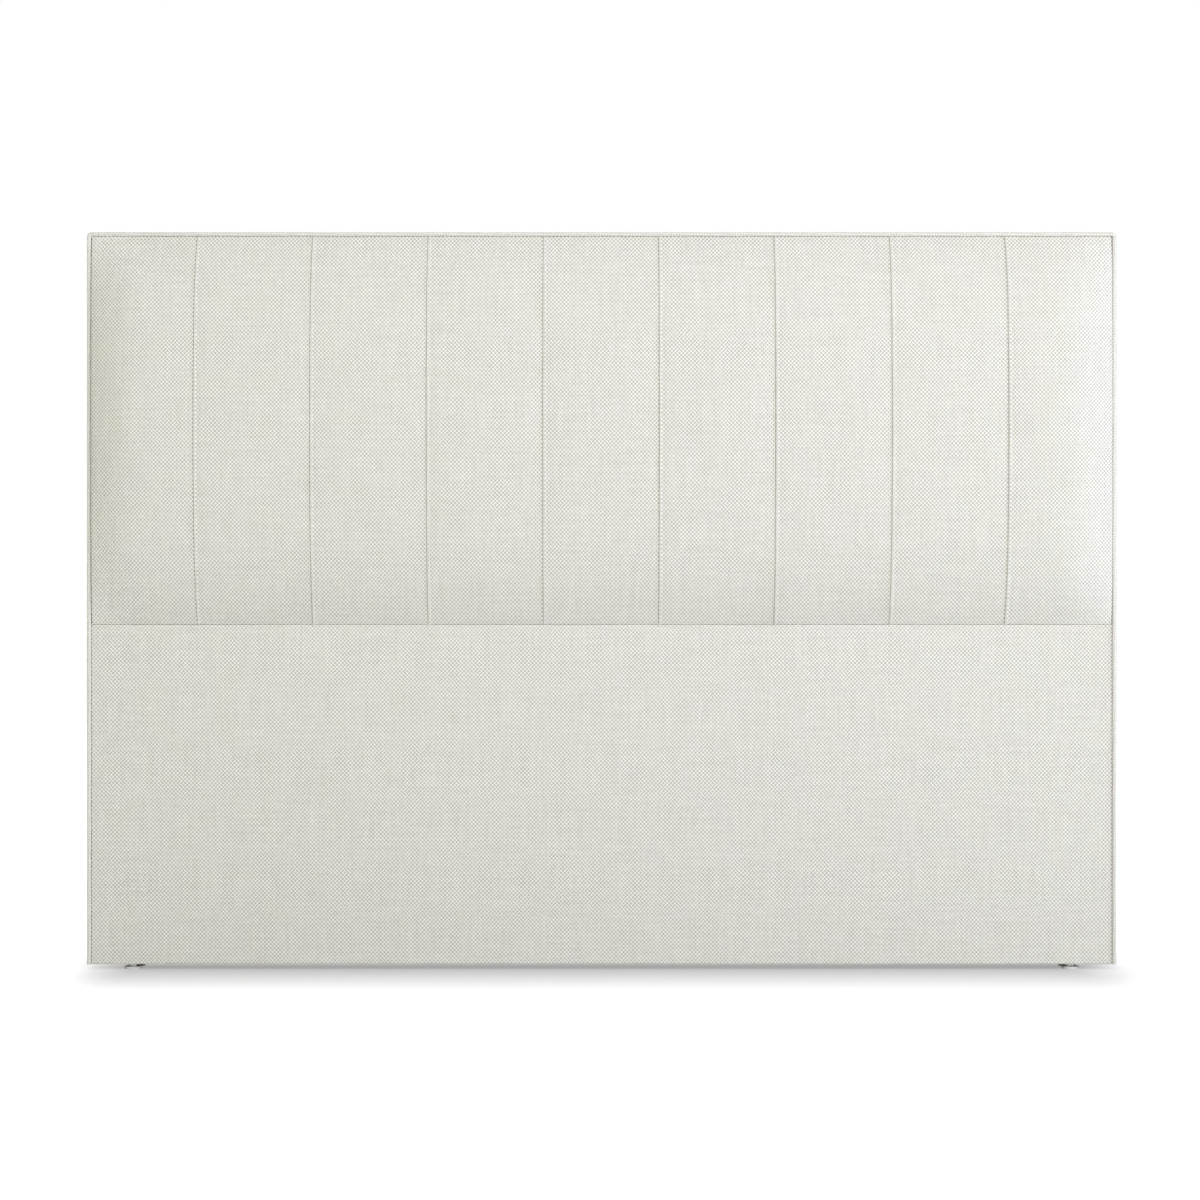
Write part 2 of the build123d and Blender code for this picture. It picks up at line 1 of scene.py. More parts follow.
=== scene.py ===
"""Upholstered headboard, put together in the order in which a workshop makes it.

Metres. X runs along the width, the front faces -Y, and Z is up from the floor.
"""

import math

import bmesh
import bpy
import numpy as np
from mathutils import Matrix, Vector, noise


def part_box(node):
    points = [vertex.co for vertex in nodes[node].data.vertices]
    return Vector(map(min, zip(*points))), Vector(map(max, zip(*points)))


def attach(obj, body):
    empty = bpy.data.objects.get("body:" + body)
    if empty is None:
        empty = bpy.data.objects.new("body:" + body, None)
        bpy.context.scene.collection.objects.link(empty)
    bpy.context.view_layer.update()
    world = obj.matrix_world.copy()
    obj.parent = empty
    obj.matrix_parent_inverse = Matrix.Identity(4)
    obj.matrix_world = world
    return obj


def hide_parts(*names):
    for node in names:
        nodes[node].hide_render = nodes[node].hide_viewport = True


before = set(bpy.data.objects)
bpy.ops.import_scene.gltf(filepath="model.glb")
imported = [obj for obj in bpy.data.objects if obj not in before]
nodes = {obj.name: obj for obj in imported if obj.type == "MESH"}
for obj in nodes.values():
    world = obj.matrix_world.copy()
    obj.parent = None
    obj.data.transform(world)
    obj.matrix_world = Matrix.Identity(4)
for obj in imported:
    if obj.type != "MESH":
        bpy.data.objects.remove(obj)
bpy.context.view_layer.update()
mm = 0.001


# Timber frame
# Planed softwood: two stiles, three rails and four posts, doweled and glued, with glued corner blocks.
# All of it is covered, and shows only through the bolt holes in the back.
class Wire:
    """One output of a shader node, so that shading over a surface is written as a Python sum."""

    def __init__(self, finish, socket):
        self.finish = finish
        self.socket = socket

    def out(self, name):
        """Another output of the same node."""
        return Wire(self.finish, self.socket.node.outputs[name])

    def math(self, operation, *values):
        """A Math node on this and other values."""
        settings = {"operation": operation}
        return self.finish.node("Math", settings, dict(enumerate(values)))

    def __add__(self, other):
        return self.math("ADD", self, other)

    def __radd__(self, other):
        return self.math("ADD", other, self)

    def __sub__(self, other):
        return self.math("SUBTRACT", self, other)

    def __rsub__(self, other):
        return self.math("SUBTRACT", other, self)

    def __mul__(self, other):
        return self.math("MULTIPLY", self, other)

    def __rmul__(self, other):
        return self.math("MULTIPLY", other, self)

    def __truediv__(self, other):
        return self.math("DIVIDE", self, other)

    def __pow__(self, other):
        return self.math("POWER", self, other)

    def __abs__(self):
        return self.math("ABSOLUTE", self)

    def sine(self):
        return self.math("SINE", self)

    def whole(self):
        return self.math("FLOOR", self)

    def above(self, limit):
        return self.math("GREATER_THAN", self, limit)

    def rise(self, low, high):
        """0 up to low and 1 from high, with a smooth change between."""
        settings = {"interpolation_type": "SMOOTHSTEP"}
        sockets = {"Value": self, "From Min": low, "From Max": high}
        return self.finish.node("MapRange", settings, sockets)


class Finish:
    """A material of this object, made node by node."""

    def __init__(self, name, constants):
        self.material = bpy.data.materials.new(name)
        self.material.use_nodes = True
        self.tree = self.material.node_tree
        self.surface = self.tree.nodes["Principled BSDF"]
        self.set(constants)

    def set(self, sockets):
        """Values or wires for the sockets of the surface shader."""
        for name, value in sockets.items():
            self.feed(self.surface.inputs[name], value)

    def feed(self, socket, value):
        if isinstance(value, Wire):
            self.tree.links.new(value.socket, socket)
        elif socket.type == "RGBA":
            socket.default_value = (*value, 1)
        else:
            socket.default_value = value

    def node(self, kind, settings=None, sockets=None):
        """A node of a type: first its settings, then the values or wires of its sockets."""
        made = self.tree.nodes.new(f"ShaderNode{kind}")
        for name, value in (settings or {}).items():
            setattr(made, name, value)
        for name, value in (sockets or {}).items():
            if isinstance(name, str):
                shown = [s for s in made.inputs if s.enabled and s.name == name]
                self.feed(shown[0], value)
            else:
                self.feed(made.inputs[name], value)
        return Wire(self, next(s for s in made.outputs if s.enabled))

    def place(self):
        """The place on the piece, in the frame that all pieces share."""
        return self.node("TexCoord").out("Object")

    def parts(self, vector):
        """The three numbers of a vector."""
        split = self.node("SeparateXYZ", {}, {"Vector": vector})
        return [split.out(axis) for axis in "XYZ"]

    def vector(self, *values):
        return self.node("CombineXYZ", {}, dict(enumerate(values)))

    def stretch(self, vector, *factors):
        """A vector with each of its numbers multiplied."""
        return self.node("VectorMath", {"operation": "MULTIPLY"}, {0: vector, 1: factors})

    def grain(self, vector, scale, detail=2.0):
        """Smooth noise from 0 to 1."""
        sockets = {"Vector": vector, "Scale": scale, "Detail": detail}
        return self.node("TexNoise", {}, sockets)

    def chance(self, *values):
        """A random number for each set of whole numbers."""
        return self.node("TexWhiteNoise", {}, {"Vector": self.vector(*values)})

    def mix(self, share, first, second):
        """Colour between two others."""
        return self.node("Mix", {"data_type": "RGBA"}, {"Factor": share, "A": first, "B": second})

    def relief(self, height, depth, strength=1.0):
        """Small relief, as a bump that feeds the surface's Normal."""
        sockets = {"Height": height, "Distance": depth, "Strength": strength}
        self.set({"Normal": self.node("Bump", {}, sockets)})

    def cover(self, *pieces):
        """Lay this finish on pieces."""
        for piece in pieces:
            if not piece.material_slots:
                piece.data.materials.append(self.material)
            for slot in piece.material_slots:
                slot.material = self.material


def softwood(name, along):
    """Planed pine with its grain along one axis."""
    finish = Finish(name, {"Roughness": 0.58, "Specular IOR Level": 0.35})
    stretch = [0.05 if axis == along else 1.0 for axis in "XYZ"]
    run = finish.stretch(finish.place(), *stretch)
    rings = (finish.grain(run, 9.0, 1.5) * 95 + finish.grain(run, 60.0) * 2).sine()
    fibre = finish.grain(run, 900.0, 3.0)
    late = (rings * 0.5 + 0.5) ** 3
    early = finish.mix(fibre, (0.62, 0.43, 0.23), (0.74, 0.55, 0.33))
    finish.set({"Base Color": finish.mix(late * 0.55, early, (0.42, 0.23, 0.09))})
    finish.relief(fibre + late * 0.4, 0.1 * mm)
    return finish


upright_pine = softwood("pine_upright", "Z")
level_pine = softwood("pine_level", "X")
for name in ("left_stile", "right_stile"):
    upright_pine.cover(nodes[name])
for bay in ("upper", "lower"):
    upright_pine.cover(nodes[f"{bay}_post_left"], nodes[f"{bay}_post_right"])
for name in ("top_rail", "middle_rail", "bottom_rail", "corner_blocks"):
    level_pine.cover(nodes[name])


# Dowels
# Beech rods across each joint of the frame, two to a joint, with pressed flutes for the glue.
beech = Finish("beech_dowel", {"Roughness": 0.5, "Specular IOR Level": 0.35})
beech_run = beech.grain(beech.place(), 140.0, 3.0)
beech_fleck = beech.grain(beech.place(), 1400.0).rise(0.62, 0.7)
beech_tone = beech.mix(beech_run, (0.56, 0.34, 0.19), (0.68, 0.46, 0.28))
beech.set({"Base Color": beech.mix(beech_fleck * 0.5, beech_tone, (0.33, 0.17, 0.08))})
beech.relief(beech_fleck, 0.1 * mm)
beech.cover(nodes["frame_dowels"])


# Plinth board
# One softwood board under the frame, notched at both ends for the piping and screwed up into the rail.
# The screws, and all the other iron inside, are zinc plated.
level_pine.cover(nodes["plinth_board"])

zinc = Finish("zinc_plate", {"Metallic": 1.0})
zinc_cloud = zinc.grain(zinc.place(), 260.0, 4.0)
zinc_spangle = zinc.grain(zinc.place(), 2600.0)
zinc.set(
    {
        "Base Color": zinc.mix(zinc_cloud, (0.5, 0.52, 0.55), (0.66, 0.66, 0.62)),
        "Roughness": 0.26 + 0.2 * zinc_cloud + 0.08 * zinc_spangle,
    }
)
zinc.relief(zinc_spangle, 0.02 * mm)
zinc.cover(nodes["plinth_screws"])


# Facing boards
# Two sheets of poplar plywood, six millimetres thick, screwed to the front of the frame.
poplar = Finish("poplar_plywood", {"Roughness": 0.6, "Specular IOR Level": 0.3})
ply = 1.2 * mm
board_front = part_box("upper_board")[0][1]
board_run = poplar.stretch(poplar.place(), 0.12, 1.0, 1.0)
figure = poplar.grain(board_run, 16.0, 3.0)
pores = poplar.grain(board_run, 1200.0)
ply_pair = ((poplar.parts(poplar.place())[1] - board_front) / ply).whole() / 2
ply_turned = 2 * (ply_pair - ply_pair.whole())
poplar_edge = 1 - abs(poplar.parts(poplar.node("NewGeometry").out("Normal"))[1]).above(0.5)
veneer = poplar.mix(figure, (0.66, 0.5, 0.31), (0.76, 0.62, 0.42))
poplar.set({"Base Color": poplar.mix(poplar_edge * ply_turned * 0.6, veneer, (0.4, 0.27, 0.15))})
poplar.relief(pores, 0.06 * mm)
poplar.cover(nodes["upper_board"], nodes["lower_board"])
zinc.cover(nodes["board_screws"])


# Foam
# A crowned block of open-cell foam above the cross seam and a flat slab below it, glued to the boards.
# The crown is full between the outer seams, and rolls off to both ends.
sharp_angle = math.radians(50)


def skin(name, points, faces, on_cloth=None):
    """Mesh object from points and faces, with each point's place on the flat cloth where it has one.

    Points that no face uses are left out.
    """
    mesh = bpy.data.meshes.new(name)
    mesh.from_pydata(points.reshape(-1, 3).tolist(), [], faces)
    if on_cloth is not None:
        mesh.attributes.new("cloth", "FLOAT_VECTOR", "POINT").data.foreach_set("vector", on_cloth.ravel())
    shape = bmesh.new()
    shape.from_mesh(mesh)
    bmesh.ops.delete(shape, geom=[v for v in shape.verts if not v.link_faces], context="VERTS")
    bmesh.ops.recalc_face_normals(shape, faces=shape.faces)
    shape.to_mesh(mesh)
    shape.free()
    mesh.shade_smooth()
    mesh.set_sharp_from_angle(angle=sharp_angle)
    piece = bpy.data.objects.new(name, mesh)
    bpy.context.scene.collection.objects.link(piece)
    return piece


# The corners of a grid's cell in turn, and the step to the cell beyond the side that starts at each.
cell_corners = ((0, 0), (0, 1), (1, 1), (1, 0))
steps_beyond = ((-1, 0), (0, 1), (1, 0), (0, -1))


def slab(name, outer, inner, on_cloth=None, left_out=None):
    """Closed mesh between two grids of points, less the cells left out as holes."""
    rows, columns = outer.shape[:2]
    near = np.arange(rows * columns).reshape(rows, columns)
    far = near + rows * columns
    kept = np.ones((rows - 1, columns - 1), bool)
    if left_out is not None:
        kept &= ~left_out
    faces = []
    for row, column in np.argwhere(kept):
        ring = [(row + down, column + right) for down, right in cell_corners]
        faces.append([int(near[at]) for at in ring])
        faces.append([int(far[at]) for at in ring[::-1]])
        for start, end, (down, right) in zip(ring, ring[1:] + ring[:1], steps_beyond):
            beyond = (row + down, column + right)
            inside = 0 <= beyond[0] < rows - 1 and 0 <= beyond[1] < columns - 1
            if not inside or not kept[beyond]:
                faces.append([int(corner) for corner in (near[end], near[start], far[start], far[end])])
    points = np.concatenate([outer.reshape(-1, 3), inner.reshape(-1, 3)])
    if on_cloth is not None:
        on_cloth = np.concatenate([on_cloth.reshape(-1, 3)] * 2)
    return skin(name, points, faces, on_cloth)


def lines(low, high, step, ends=()):
    """Grid lines about a step apart, with closer ones at these distances from both ends."""
    ends = np.array((0.0, *ends))
    middle = np.linspace(low + ends[-1], high - ends[-1], 1 + max(1, round((high - low) / step)))
    return np.unique(np.concatenate([low + ends, middle, high - ends]).round(7))


def put(x, y, z):
    """Grid of points from grids of their three numbers."""
    return np.stack(np.broadcast_arrays(x, y, z), axis=-1)


def waves(first, second, size, seed):
    """Slow unevenness from -1 to 1 over a grid of places, the same on each run."""
    first, second = np.broadcast_arrays(first, second)
    flat = zip(first.ravel() / size, second.ravel() / size)
    return np.array([noise.noise(Vector((a, b, seed))) for a, b in flat]).reshape(first.shape)


crown_depth = 50 * mm
end_depth = 11 * mm
end_reach = 90 * mm
end_roll_power = 1.8
shoulder_rise_share = 0.8
shoulder_shares = {"lower": 0.58, "upper": 0.63}
seam_pitch = 201.5 * mm
seam_count = 8
seam_xs = [(i - (seam_count - 1) / 2) * seam_pitch for i in range(seam_count)]
panel_low, panel_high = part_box("lower_cover")
panel_x = panel_high[0]
face_y = panel_low[1]
seam_z = 603 * mm
cushion_low, cushion_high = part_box("channel_cover_5")
cushion_bottom, cushion_top = cushion_low[2], cushion_high[2]
summit_z = (cushion_bottom + cushion_top) / 2


def rise_at(x):
    """How far the crown stands out at its summit."""
    share = np.clip((panel_x - abs(x)) / end_reach, 0, 1)
    return crown_depth - (crown_depth - end_depth) * (1 - share) ** end_roll_power


def crown(z, rise):
    """How far the crown stands out at a height: two arcs on each side of the summit, without a kink."""
    z, rise = np.broadcast_arrays(z, rise)
    reach = (cushion_top - cushion_bottom) / 2
    away = np.clip(abs(z - summit_z), 0, reach)
    shoulder = reach * np.where(z < summit_z, *shoulder_shares.values())
    drop = (1 - shoulder_rise_share) * rise
    inner = (shoulder**2 + drop**2) / (2 * drop)
    lean = np.arcsin(shoulder / inner)
    fall, run = rise - drop, reach - shoulder
    turn = np.arctan2(fall, run) - lean
    outer = np.hypot(fall, run) / (2 * np.sin(turn))
    from_shoulder = away - shoulder + outer * np.sin(lean)
    level = fall - outer * np.cos(lean)
    far_part = level + np.sqrt(np.maximum(outer**2 - from_shoulder**2, 0))
    near_part = rise - inner + np.sqrt(np.maximum(inner**2 - away**2, 0))
    return np.where(away < shoulder, near_part, far_part)


foam = Finish("upholstery_foam", {"Roughness": 0.95, "Specular IOR Level": 0.15})
cells = foam.node("TexVoronoi", {"feature": "F1"}, {"Vector": foam.place(), "Scale": 900.0})
foam_cloud = foam.grain(foam.place(), 14.0, 3.0)
foam_tone = foam.mix(foam_cloud, (0.82, 0.73, 0.47), (0.88, 0.8, 0.57))
foam.set({"Base Color": foam.mix(cells.rise(0.35, 0.7) * 0.5, foam_tone, (0.55, 0.45, 0.24))})
foam.relief(cells, 0.4 * mm)

foam_set = 3.3 * mm
foam_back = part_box("upper_foam")[1][1]
foam_end_gap = 4.6 * mm
foam_end = panel_x - foam_end_gap
foam_x = lines(-foam_end, foam_end, step=20 * mm, ends=(2 * mm, 6 * mm, 12 * mm))
foam_z = lines(cushion_bottom, cushion_top, step=14 * mm, ends=(3 * mm,))[:, None]
foam_front = face_y + foam_set - crown(foam_z, rise_at(foam_x))
upper_foam = slab("upper_foam_block", put(foam_x, foam_front, foam_z), put(foam_x, foam_back, foam_z))
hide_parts("upper_foam")

slab_low, slab_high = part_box("lower_foam")
slab_x = lines(slab_low[0], slab_high[0], step=60 * mm, ends=(1 * mm, 3 * mm))
slab_z = lines(slab_low[2], slab_high[2], step=40 * mm, ends=(1 * mm, 3 * mm))[:, None]
foam_unevenness = 0.05 * mm
slab_front = slab_low[1] + foam_unevenness * (1 + waves(slab_x, slab_z, size=0.1, seed=3.5))
lower_foam = slab("lower_foam_slab", put(slab_x, slab_front, slab_z), put(slab_x, slab_high[1], slab_z))
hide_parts("lower_foam")
for piece in (upper_foam, lower_foam):
    foam.cover(piece)
    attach(piece, "headboard")


# Channel covers
# Nine upright channels of cloth quilted on thin wadding, sewn together edge to edge.
# The cloth is a basket weave: thick ivory floats of the warp over a thinner grey-beige weft, whose colour
# is darkened further by painted shade in the hollows between the floats.
float_width = 3.317 * mm
float_height = 3.56 * mm


def basket(name, contrast):
    """The cloth's finish; on a tight fold the floats hide the weft, so it has less contrast."""
    finish = Finish(name, {"Roughness": 0.92, "Specular IOR Level": 0.12})
    flat_place = finish.node("Attribute", {"attribute_name": "cloth"}).out("Vector")
    wander = finish.grain(flat_place, 55.0, 3.0) - 0.5
    along, up, _ = finish.parts(flat_place)
    column = along / float_width + wander * 0.35
    row = up / float_height + wander * 0.3
    checks = (column * math.pi).sine() * (row * math.pi).sine()
    warp_on_top = checks.rise(-0.55, 0.3)
    thread_tone = finish.chance(column.whole(), row.whole(), 0)
    column_tone = finish.grain(finish.vector(column * 0.9, row * 0.035, 0), 1.0, 1.0)
    row_tone = finish.grain(finish.vector(column * 0.03, row * 0.9, 5), 1.0, 1.0)
    tone = 0.5 * thread_tone + 1.1 * column_tone + 1.1 * row_tone - 0.85
    warp_fibre = finish.grain(finish.vector(column * 9, row * 1.1, 2), 1.0, 3.0)
    weft_fibre = finish.grain(finish.vector(column * 1.1, row * 9, 7), 1.0, 3.0)
    drift = finish.grain(flat_place, 16.0, 3.0).rise(0.38, 0.62)
    ivory = finish.mix(drift, (0.80, 0.796, 0.71), (0.80, 0.786, 0.735))
    dull_ivory = finish.mix(0.1, ivory, (0.5, 0.49, 0.43))
    bright_ivory = finish.mix(0.4, ivory, (0.95, 0.945, 0.89))
    ivory = finish.mix(tone, dull_ivory, bright_ivory)
    ivory = finish.mix(warp_fibre.rise(0.35, 0.7) * 0.25, ivory, (0.66, 0.65, 0.58))
    # The weft colour is partly its grey-beige yarn and partly painted shade between the floats.
    weft_and_shade = finish.mix(tone, (0.375, 0.372, 0.32), (0.505, 0.502, 0.438))
    weft_and_shade = finish.mix(weft_fibre.rise(0.35, 0.7) * 0.4, weft_and_shade, (0.60, 0.596, 0.525))
    shown = contrast * warp_on_top + (1 - contrast) * 0.66
    finish.set({"Base Color": finish.mix(shown, weft_and_shade, ivory)})
    pillow = abs(checks) ** 0.6
    finish.relief(pillow * (0.7 + 0.3 * warp_on_top) + 0.12 * warp_fibre, 0.45 * mm, 0.5 * contrast)
    return finish


weave = basket("ivory_basket_weave", contrast=1.0)
tight_weave = basket("ivory_weave_on_folds", contrast=0.4)

tuck_half = 1.6 * mm
tuck_height = 3 * mm
least_tuck = 2.4 * mm
foot_share = 0.5
foot_reach = 2.6 * mm
seam_half = 1.75 * mm
cover_depth = 3 * mm
puff = 2.6 * mm
swell_power = 0.6
swell_percentile = 90
most_swell_share = 1.05
edge_lines = tuple(d * mm for d in (0.15, 0.4, 0.75, 1.2, 1.8, 2.8, 4.5, 7.5, 12.0))
seam_roll = 1.8 * mm
least_roll = 0.3 * mm
end_roll = 2.4 * mm
end_gap = 0.35 * mm
end_draw = 0.75 * mm
end_draw_reach = 4.5 * mm
ditch_roll = 0.9 * mm


def fold_height(z):
    """How far the folds between the channels stand out: most where the crown does."""
    return np.maximum(least_tuck, tuck_height * crown(z, crown_depth) / crown_depth)


def fallen(distance, radius):
    """How far a surface falls back at a distance from an edge that is rolled to a radius."""
    into = np.clip(radius - distance, 0, radius)
    return radius - np.sqrt(radius**2 - into**2)


borders = [-panel_x, *seam_xs, panel_x]
channel_count = len(borders) - 1
channel_columns, quilt_rows = ((16, 56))
channel_lines = [np.linspace(a, b, channel_columns + 1)[:-1] for a, b in zip(borders, borders[1:])]
quilt_x = np.append(np.concatenate(channel_lines), panel_x)
quilt_z = np.linspace(cushion_bottom, cushion_top, quilt_rows + 1)
settling_frames = 20


def quilted():
    """Cloth sewn down along the seams and pressed out by the wadding: how far each point of it moves."""
    out_y = face_y - crown(quilt_z[:, None], rise_at(quilt_x))
    rest = put(quilt_x, out_y, quilt_z[:, None])
    index = np.arange(out_y.size).reshape(out_y.shape)
    corners = (index[:-1, :-1], index[:-1, 1:], index[1:, 1:], index[1:, :-1])
    faces = np.stack(corners, axis=-1).reshape(-1, 4).tolist()
    panel = skin("quilting_cloth", rest, faces)
    sewn = panel.vertex_groups.new(name="sewn")
    edge = np.zeros(index.shape, bool)
    edge[[0, -1], :] = True
    edge[:, ::channel_columns] = True
    sewn.add(index[edge].tolist(), 1.0, "REPLACE")
    panel.modifiers.new("quilting", "CLOTH")
    cloth = panel.modifiers["quilting"].settings
    cloth.quality = 6
    cloth.mass = 0.4
    cloth.tension_stiffness = 30
    cloth.compression_stiffness = 30
    cloth.shear_stiffness = 12
    cloth.bending_stiffness = 4
    cloth.air_damping = 4
    cloth.use_pressure = True
    cloth.uniform_pressure_force = 4
    cloth.effector_weights.gravity = 0
    cloth.vertex_group_mass = "sewn"
    scene = bpy.context.scene
    for moment in range(1, 1 + settling_frames):
        scene.frame_set(moment)
    shaped = panel.evaluated_get(bpy.context.evaluated_depsgraph_get())
    ends = np.zeros(len(shaped.data.vertices) * 3)
    shaped.data.vertices.foreach_get("co", ends)
    moved = np.linalg.norm(ends.reshape(rest.shape) - rest, axis=-1)
    bpy.data.objects.remove(panel)
    scene.frame_set(1)
    return moved


moved = quilted()
moved_share = np.minimum(moved / np.percentile(moved, swell_percentile), most_swell_share)
swell_grid = puff * moved_share**swell_power


def swell(x, z):
    """How far the wadding presses the cloth out, read from the sewn cloth's grid."""
    fine = np.array([np.interp(x, quilt_x, row) for row in swell_grid])
    return np.array([np.interp(z.ravel(), quilt_z, column) for column in fine.T]).T


for number, (left, right) in enumerate(zip(borders, borders[1:]), 1):
    first, last = number == 1, number == channel_count
    low_x = left + (end_gap if first else seam_half)
    high_x = right - (end_gap if last else seam_half)
    x = lines(low_x, high_x, step=9 * mm, ends=edge_lines)
    z = lines(cushion_bottom, cushion_top, step=11 * mm, ends=edge_lines)[:, None]
    plain = crown(z, rise_at(x))
    fall = fallen(x - low_x, end_roll if first else least_roll)
    fall += fallen(high_x - x, end_roll if last else seam_roll)
    fall = np.maximum(fall, fallen(z - cushion_bottom, ditch_roll))
    fall = np.maximum(fall, fallen(cushion_top - z, ditch_roll))
    front = face_y - plain - swell(x, z) + fall
    if not first:
        near_fold = np.clip(1 - (x - low_x) / foot_reach, 0, 1) ** 2
        front -= foot_share * fold_height(z) * near_fold
    turned_in = panel_x - abs(x) < cover_depth
    back = face_y + cover_depth - np.where(turned_in, 0, plain)
    from_end = panel_x - end_gap - abs(x)
    drawn = end_draw * crown(z, crown_depth) / crown_depth
    place_x = x - np.sign(x) * drawn * np.clip(1 - from_end / end_draw_reach, 0, 1)
    grids = put(place_x, front, z), put(place_x, back, z)
    cover = slab(f"quilted_channel_{number}", *grids, on_cloth=put(place_x, z, 0))
    weave.cover(cover)
    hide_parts(f"channel_cover_{number}")
    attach(cover, "headboard")


# Tucks
# Between neighbouring channels the cloth stands up in a narrow fold, which leans to the left over its seam.
# The channel on its right runs up into it, and a row of stitches holds it on its left.
tail_drops = np.array((3.5, 1.8)) * mm
tail_heights = np.array((0.2, 1.1)) * mm
tail_sunk = 0.4 * mm
fold_places = np.array((-1.0, -0.94, -0.78, -0.55, -0.3, -0.05, 0.2, 0.45, 0.7, 0.92, 1.0))
fold_shares = np.array((-0.5, -0.22, 0.15, 0.5, 0.78, 0.95, 1.0, 0.95, 0.83, 0.68, 0.4))
for number, seam_x in enumerate(seam_xs, 1):
    z = np.concatenate([seam_z - tail_drops, lines(cushion_bottom, cushion_top, step=9 * mm)])[:, None]
    base = crown(np.maximum(z, cushion_bottom), crown_depth)
    height = fold_height(np.maximum(z, cushion_bottom))
    height[:2, 0] = tail_heights
    x = seam_x + tuck_half * fold_places
    back = face_y - base + cover_depth
    back[:2] = face_y + tail_sunk
    grids = put(x, face_y - base - height * fold_shares, z), put(x, back, z)
    climb = np.diff(fold_shares, prepend=fold_shares[0]) * tuck_height
    around = np.cumsum(np.hypot(np.diff(x, prepend=x[0]), climb))
    tuck = slab(f"seam_tuck_{number}", *grids, on_cloth=put(around + seam_x, z, 0))
    tight_weave.cover(tuck)
    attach(tuck, "headboard")
    if number == 1:
        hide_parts("seam_tucks")

thread = Finish("sewing_thread", {"Roughness": 0.7, "Specular IOR Level": 0.3})
thread_run = thread.grain(thread.place(), 1500.0, 2.0)
thread.set({"Base Color": thread.mix(thread_run, (0.66, 0.65, 0.57), (0.82, 0.81, 0.74))})
thread.relief(thread_run, 0.1 * mm)


def tube_faces(rings, count):
    """Faces of a tube made of rings with this many points each, closed at both ends."""
    index = np.arange(rings * count).reshape(rings, count)
    beside = np.roll(index, -1, axis=1)
    faces = np.stack([index[:-1], beside[:-1], beside[1:], index[1:]], axis=-1).reshape(-1, 4).tolist()
    return faces + [index[0].tolist(), index[-1].tolist()]


def stitches(name, centres, runs, length, thickness):
    """A row of stitches: short arched threads at these places, along these directions."""
    sides = np.linspace(0, 2 * math.pi, 5, endpoint=False)
    shares = np.array((-0.5, -0.34, 0.0, 0.34, 0.5))
    girth = thickness / 2 * np.array((0.35, 0.95, 1.0, 0.95, 0.35))
    sunk = thickness * np.array((0.9, 0.25, 0.0, 0.25, 0.9))
    out = np.array((0, -1.0, 0))
    centres, runs = np.asarray(centres), np.asarray(runs)
    aside = np.cross(runs, out)
    rings = []
    for share, radius, depth in zip(shares, girth, sunk):
        middle = centres + runs * share * length - out * depth
        for angle in sides:
            rings.append(middle + radius * (aside * math.cos(angle) + out * math.sin(angle)))
    points = np.stack(rings, axis=1)
    one = tube_faces(len(shares), len(sides))
    starts = range(0, points.size // 3, len(rings))
    faces = [[start + corner for corner in face] for start in starts for face in one]
    row = skin(name, points, faces)
    thread.cover(row)
    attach(row, "headboard")


stitch_pitch = 4.4 * mm
stitch_length = 3.2 * mm
thread_thickness = 0.36 * mm
stitch_margin = 3 * mm
stitch_sunk = 1.15 * mm
stitch_aside = 1.75 * mm
stitch_z = np.arange(cushion_bottom + stitch_margin, cushion_top - stitch_margin, stitch_pitch)
slope = np.gradient(crown(stitch_z, crown_depth), stitch_z)
upward = put(0.0, -slope, 1.0)
upward /= np.linalg.norm(upward, axis=1)[:, None]
stitch_y = face_y - crown(stitch_z, crown_depth) + stitch_sunk
for number, seam_x in enumerate(seam_xs, 1):
    centres = put(seam_x - stitch_aside, stitch_y, stitch_z)
    stitches(f"tuck_stitches_{number}", centres, upward, stitch_length, thread_thickness)


# Lower cover
# One flat spread of the same cloth over the foam slab, sewn to the channels along the cross seam.
# Its lower end turns under the plinth board.
cloth_thickness = 1.5 * mm
lower_roll = 1.0 * mm
lower_side_roll = 1.2 * mm
lower_side_gap = 0.2 * mm
lower_unevenness = 0.3 * mm
calm_margin = 60 * mm
under_radius = 2.4 * mm
under_reach = panel_high[1] - panel_low[1]
drop_end = panel_low[2] + under_radius
turn_length = under_radius * math.pi / 2
lower_end = panel_x - lower_side_gap
lower_x = lines(-lower_end, lower_end, step=22 * mm, ends=edge_lines)
upright_z = lines(drop_end, panel_high[2], step=20 * mm, ends=edge_lines)
turn_steps = np.linspace(0, turn_length, 7)[1:]
under_steps = turn_length + np.linspace(0, under_reach - under_radius, 5)[1:]
past_steps = np.concatenate([turn_steps, under_steps])[::-1]
cloth_run = np.concatenate([drop_end - past_steps, upright_z])[:, None]
past_turn = drop_end - cloth_run


def lower_place(outward):
    """Depth and height of the lower cover, from how far its points stand out of its smooth outer face."""
    around = np.clip(past_turn, 0, turn_length) / under_radius
    radius = under_radius + outward
    under = np.maximum(past_turn - turn_length, 0)
    depth = face_y + under_radius - radius * np.cos(around) + under
    return depth, drop_end - radius * np.sin(around) + np.maximum(-past_turn, 0)


from_side, from_top = lower_end - abs(lower_x), panel_high[2] - cloth_run
fall = np.maximum(fallen(from_side, lower_side_roll), fallen(from_top, lower_roll))
uneven = lower_unevenness * waves(lower_x, cloth_run, size=0.14, seed=1.5)
uneven *= np.clip(from_side / calm_margin, 0, 1)
uneven *= np.clip(np.minimum(cloth_run - drop_end, from_top) / calm_margin, 0, 1)
grids = [put(lower_x, *lower_place(outward)) for outward in (abs(uneven) - fall, -cloth_thickness)]
lower_cover = slab("flat_lower_cover", *grids, on_cloth=put(lower_x, cloth_run, 0))
weave.cover(lower_cover)
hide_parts("lower_cover")
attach(lower_cover, "headboard")


